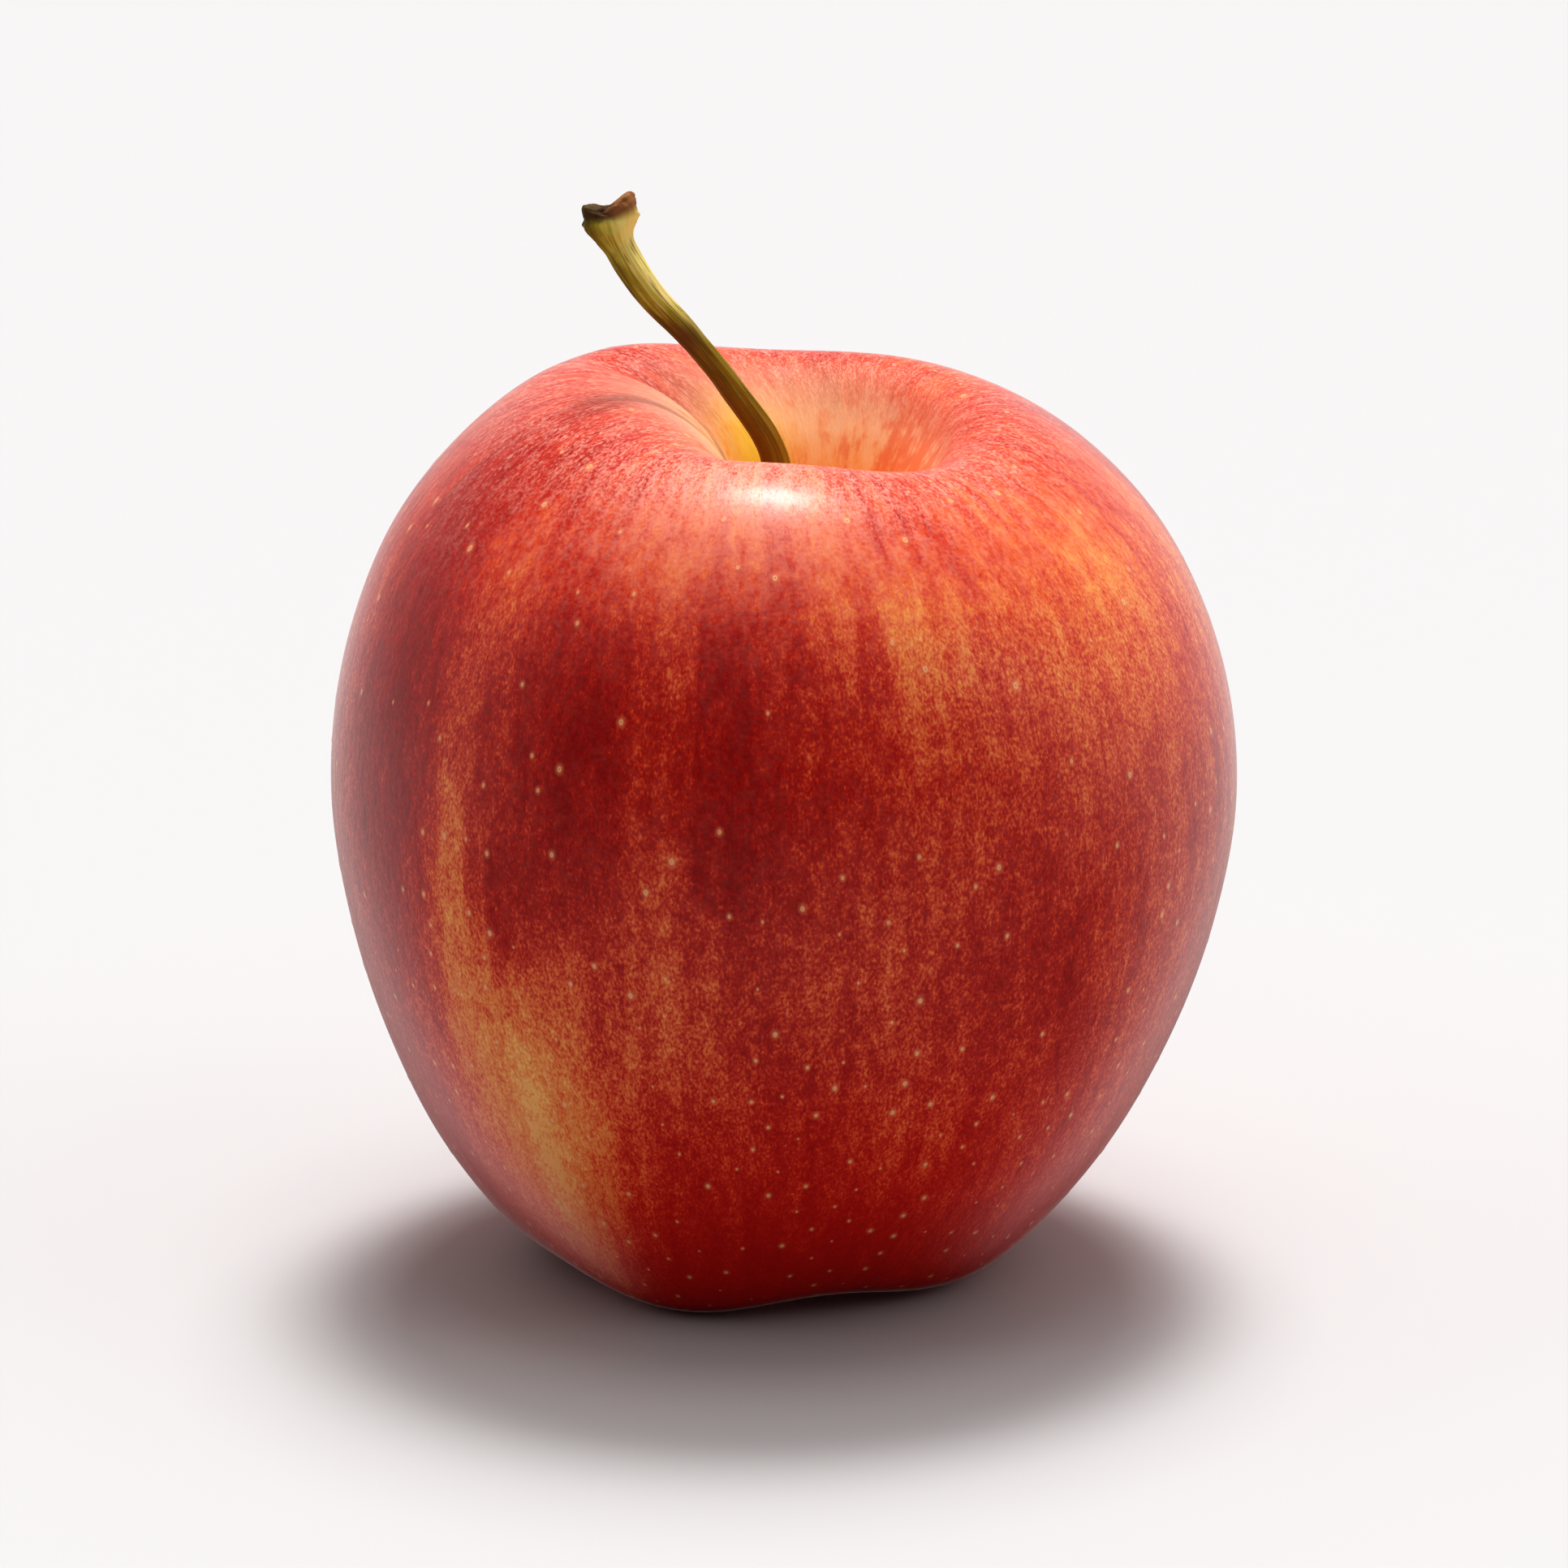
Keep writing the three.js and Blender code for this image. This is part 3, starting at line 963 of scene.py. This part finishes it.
# The camera looks down by an angle in degrees at a point a share of the way up the apple. The distance
# and the height of the view there are in metres.
CAMERA_DISTANCE = 0.6
CAMERA_HEIGHT_ANGLE = 15
AIM_SHARE = 0.4472
FRAME_HEIGHT_AT_APPLE = 0.13002


def make_camera():
    aim = Vector((0, 0, CAD_HIGH.z * AIM_SHARE))
    tilt = math.radians(CAMERA_HEIGHT_ANGLE)
    data = bpy.data.cameras.new("camera")
    data.sensor_width = 36
    data.lens = data.sensor_width * CAMERA_DISTANCE / FRAME_HEIGHT_AT_APPLE
    camera = bpy.data.objects.new("camera", data)
    bpy.context.scene.collection.objects.link(camera)
    camera.location = aim + CAMERA_DISTANCE * Vector((0, -math.cos(tilt), math.sin(tilt)))
    camera.rotation_euler = (math.radians(90) - tilt, 0, 0)
    bpy.context.scene.camera = camera


def make_floor():
    """A pale sheet, large enough to run out of every view."""
    bpy.ops.mesh.primitive_circle_add(vertices=64, radius=30, fill_type="NGON")
    floor = bpy.context.object
    floor.name = "floor"
    material, _, shader = new_material("pale_floor")
    shader.inputs["Base Color"].default_value = (0.51, 0.5, 0.5, 1)
    shader.inputs["Roughness"].default_value = 0.7
    shader.inputs["Specular IOR Level"].default_value = 0.2
    floor.data.materials.append(material)
    floor.visible_glossy = False


# Name, lean to the back, width in degrees, strength, and whether it shows in the skin's gloss.
LAMPS = [
    ("overhead", 0.02, 30, 0.62, False),
    ("overhead_back", 0.42, 24, 2.02, False),
    ("overhead_middle", 0.36, 12, 1.05, True),
]


def make_lamps():
    """Three broad soft lamps overhead. Only the middle one shows in the skin's gloss."""
    for name, back, width, strength, in_gloss in LAMPS:
        lamp = bpy.data.lights.new(name, "SUN")
        lamp.angle = math.radians(width)
        lamp.energy = strength
        lamp_object = bpy.data.objects.new(name, lamp)
        lamp_object.rotation_euler = Vector((0.05, back, 1)).to_track_quat("Z", "Y").to_euler()
        lamp_object.visible_glossy = in_gloss
        bpy.context.scene.collection.objects.link(lamp_object)


# Soft bright panels in the tent: direction, half width and strength.
PANELS = [
    (Vector((0.82, -0.3, 0.48)), 0.22, 1.5),
    (Vector((-0.93, -0.04, 0.36)), 0.19, 1.0),
]
SEEN_STRENGTH = 0.87


def tent_glow(tree, direction, dark):
    """The light the tent gives: even, less from the camera's side, more from its panels."""
    east, _, _ = parts(tree, direction)
    glow = 0.46 + east.rise(-0.2, 0.9) * 0.1 - dark * 0.44
    for way, width, strength in PANELS:
        offset = vector_math(tree, "SUBTRACT", direction, tuple(way.normalized()))
        across, deep, rise = parts(tree, offset)
        distance = (across * across + deep * deep + rise * rise).math("SQRT")
        glow = glow + distance.bell(0.0, width) * strength
    return glow


def tent_mirrored(tree, direction, dark, glow):
    """What gloss shows of the tent: a pale band round the horizon, fainter below it and to the west."""
    east, north, up = parts(tree, direction)
    beside = east.math("ABSOLUTE").rise(0.28, 0.55)
    below = north.rise(0.0, 0.6) * (up.rise(-0.6, -0.25) * 0.6 + beside)
    level = (up.rise(-0.4, 0.05) + below).clamped()
    shaded = (-east).rise(0.0, 0.5) * up.rise(-0.15, 0.1) * 0.5
    return ((1.0 - dark) * (1.0 - up.rise(0.2, 0.7)) * (1.0 - shaded) * 0.55 + glow * 0.25) * level


def make_tent():
    """A pale tent all round, set apart for what the camera sees, what gloss shows and what lights."""
    world = bpy.data.worlds.new("tent")
    bpy.context.scene.world = world
    world.use_nodes = True
    tree = world.node_tree
    background = tree.nodes["Background"]
    direction = tree.nodes.new("ShaderNodeTexCoord").outputs["Generated"]
    _, north, up = parts(tree, direction)
    dark = (-north).rise(-0.1, 0.6) * (1.0 - up.rise(0.35, 0.65))
    glow = tent_glow(tree, direction, dark)
    mirrored = tent_mirrored(tree, direction, dark, glow)
    path = tree.nodes.new("ShaderNodeLightPath")
    seen = Term(tree, path.outputs["Is Camera Ray"])
    gloss = Term(tree, path.outputs["Is Glossy Ray"])
    strength = seen * SEEN_STRENGTH + (1.0 - seen) * (1.0 - gloss) * glow + gloss * mirrored
    feed(tree, strength, background.inputs["Strength"])
    background.inputs["Color"].default_value = (1, 1, 1, 1)


def set_film():
    view = bpy.context.scene.view_settings
    view.view_transform = "Standard"
    view.look = "Medium High Contrast"


make_camera()
make_floor()
make_lamps()
make_tent()
set_film()
skin = skin_material()
fruit = make_fruit(skin)
make_pores(fruit, skin)
make_stalk(stalk_material())
make_sepals(dried_material("dried_leaf", (0.06, 0.035, 0.015), (0.3, 0.2, 0.1), 0.8))
make_stamens(dried_material("dried_thread", (0.03, 0.018, 0.01), (0.14, 0.09, 0.05), 0.85))
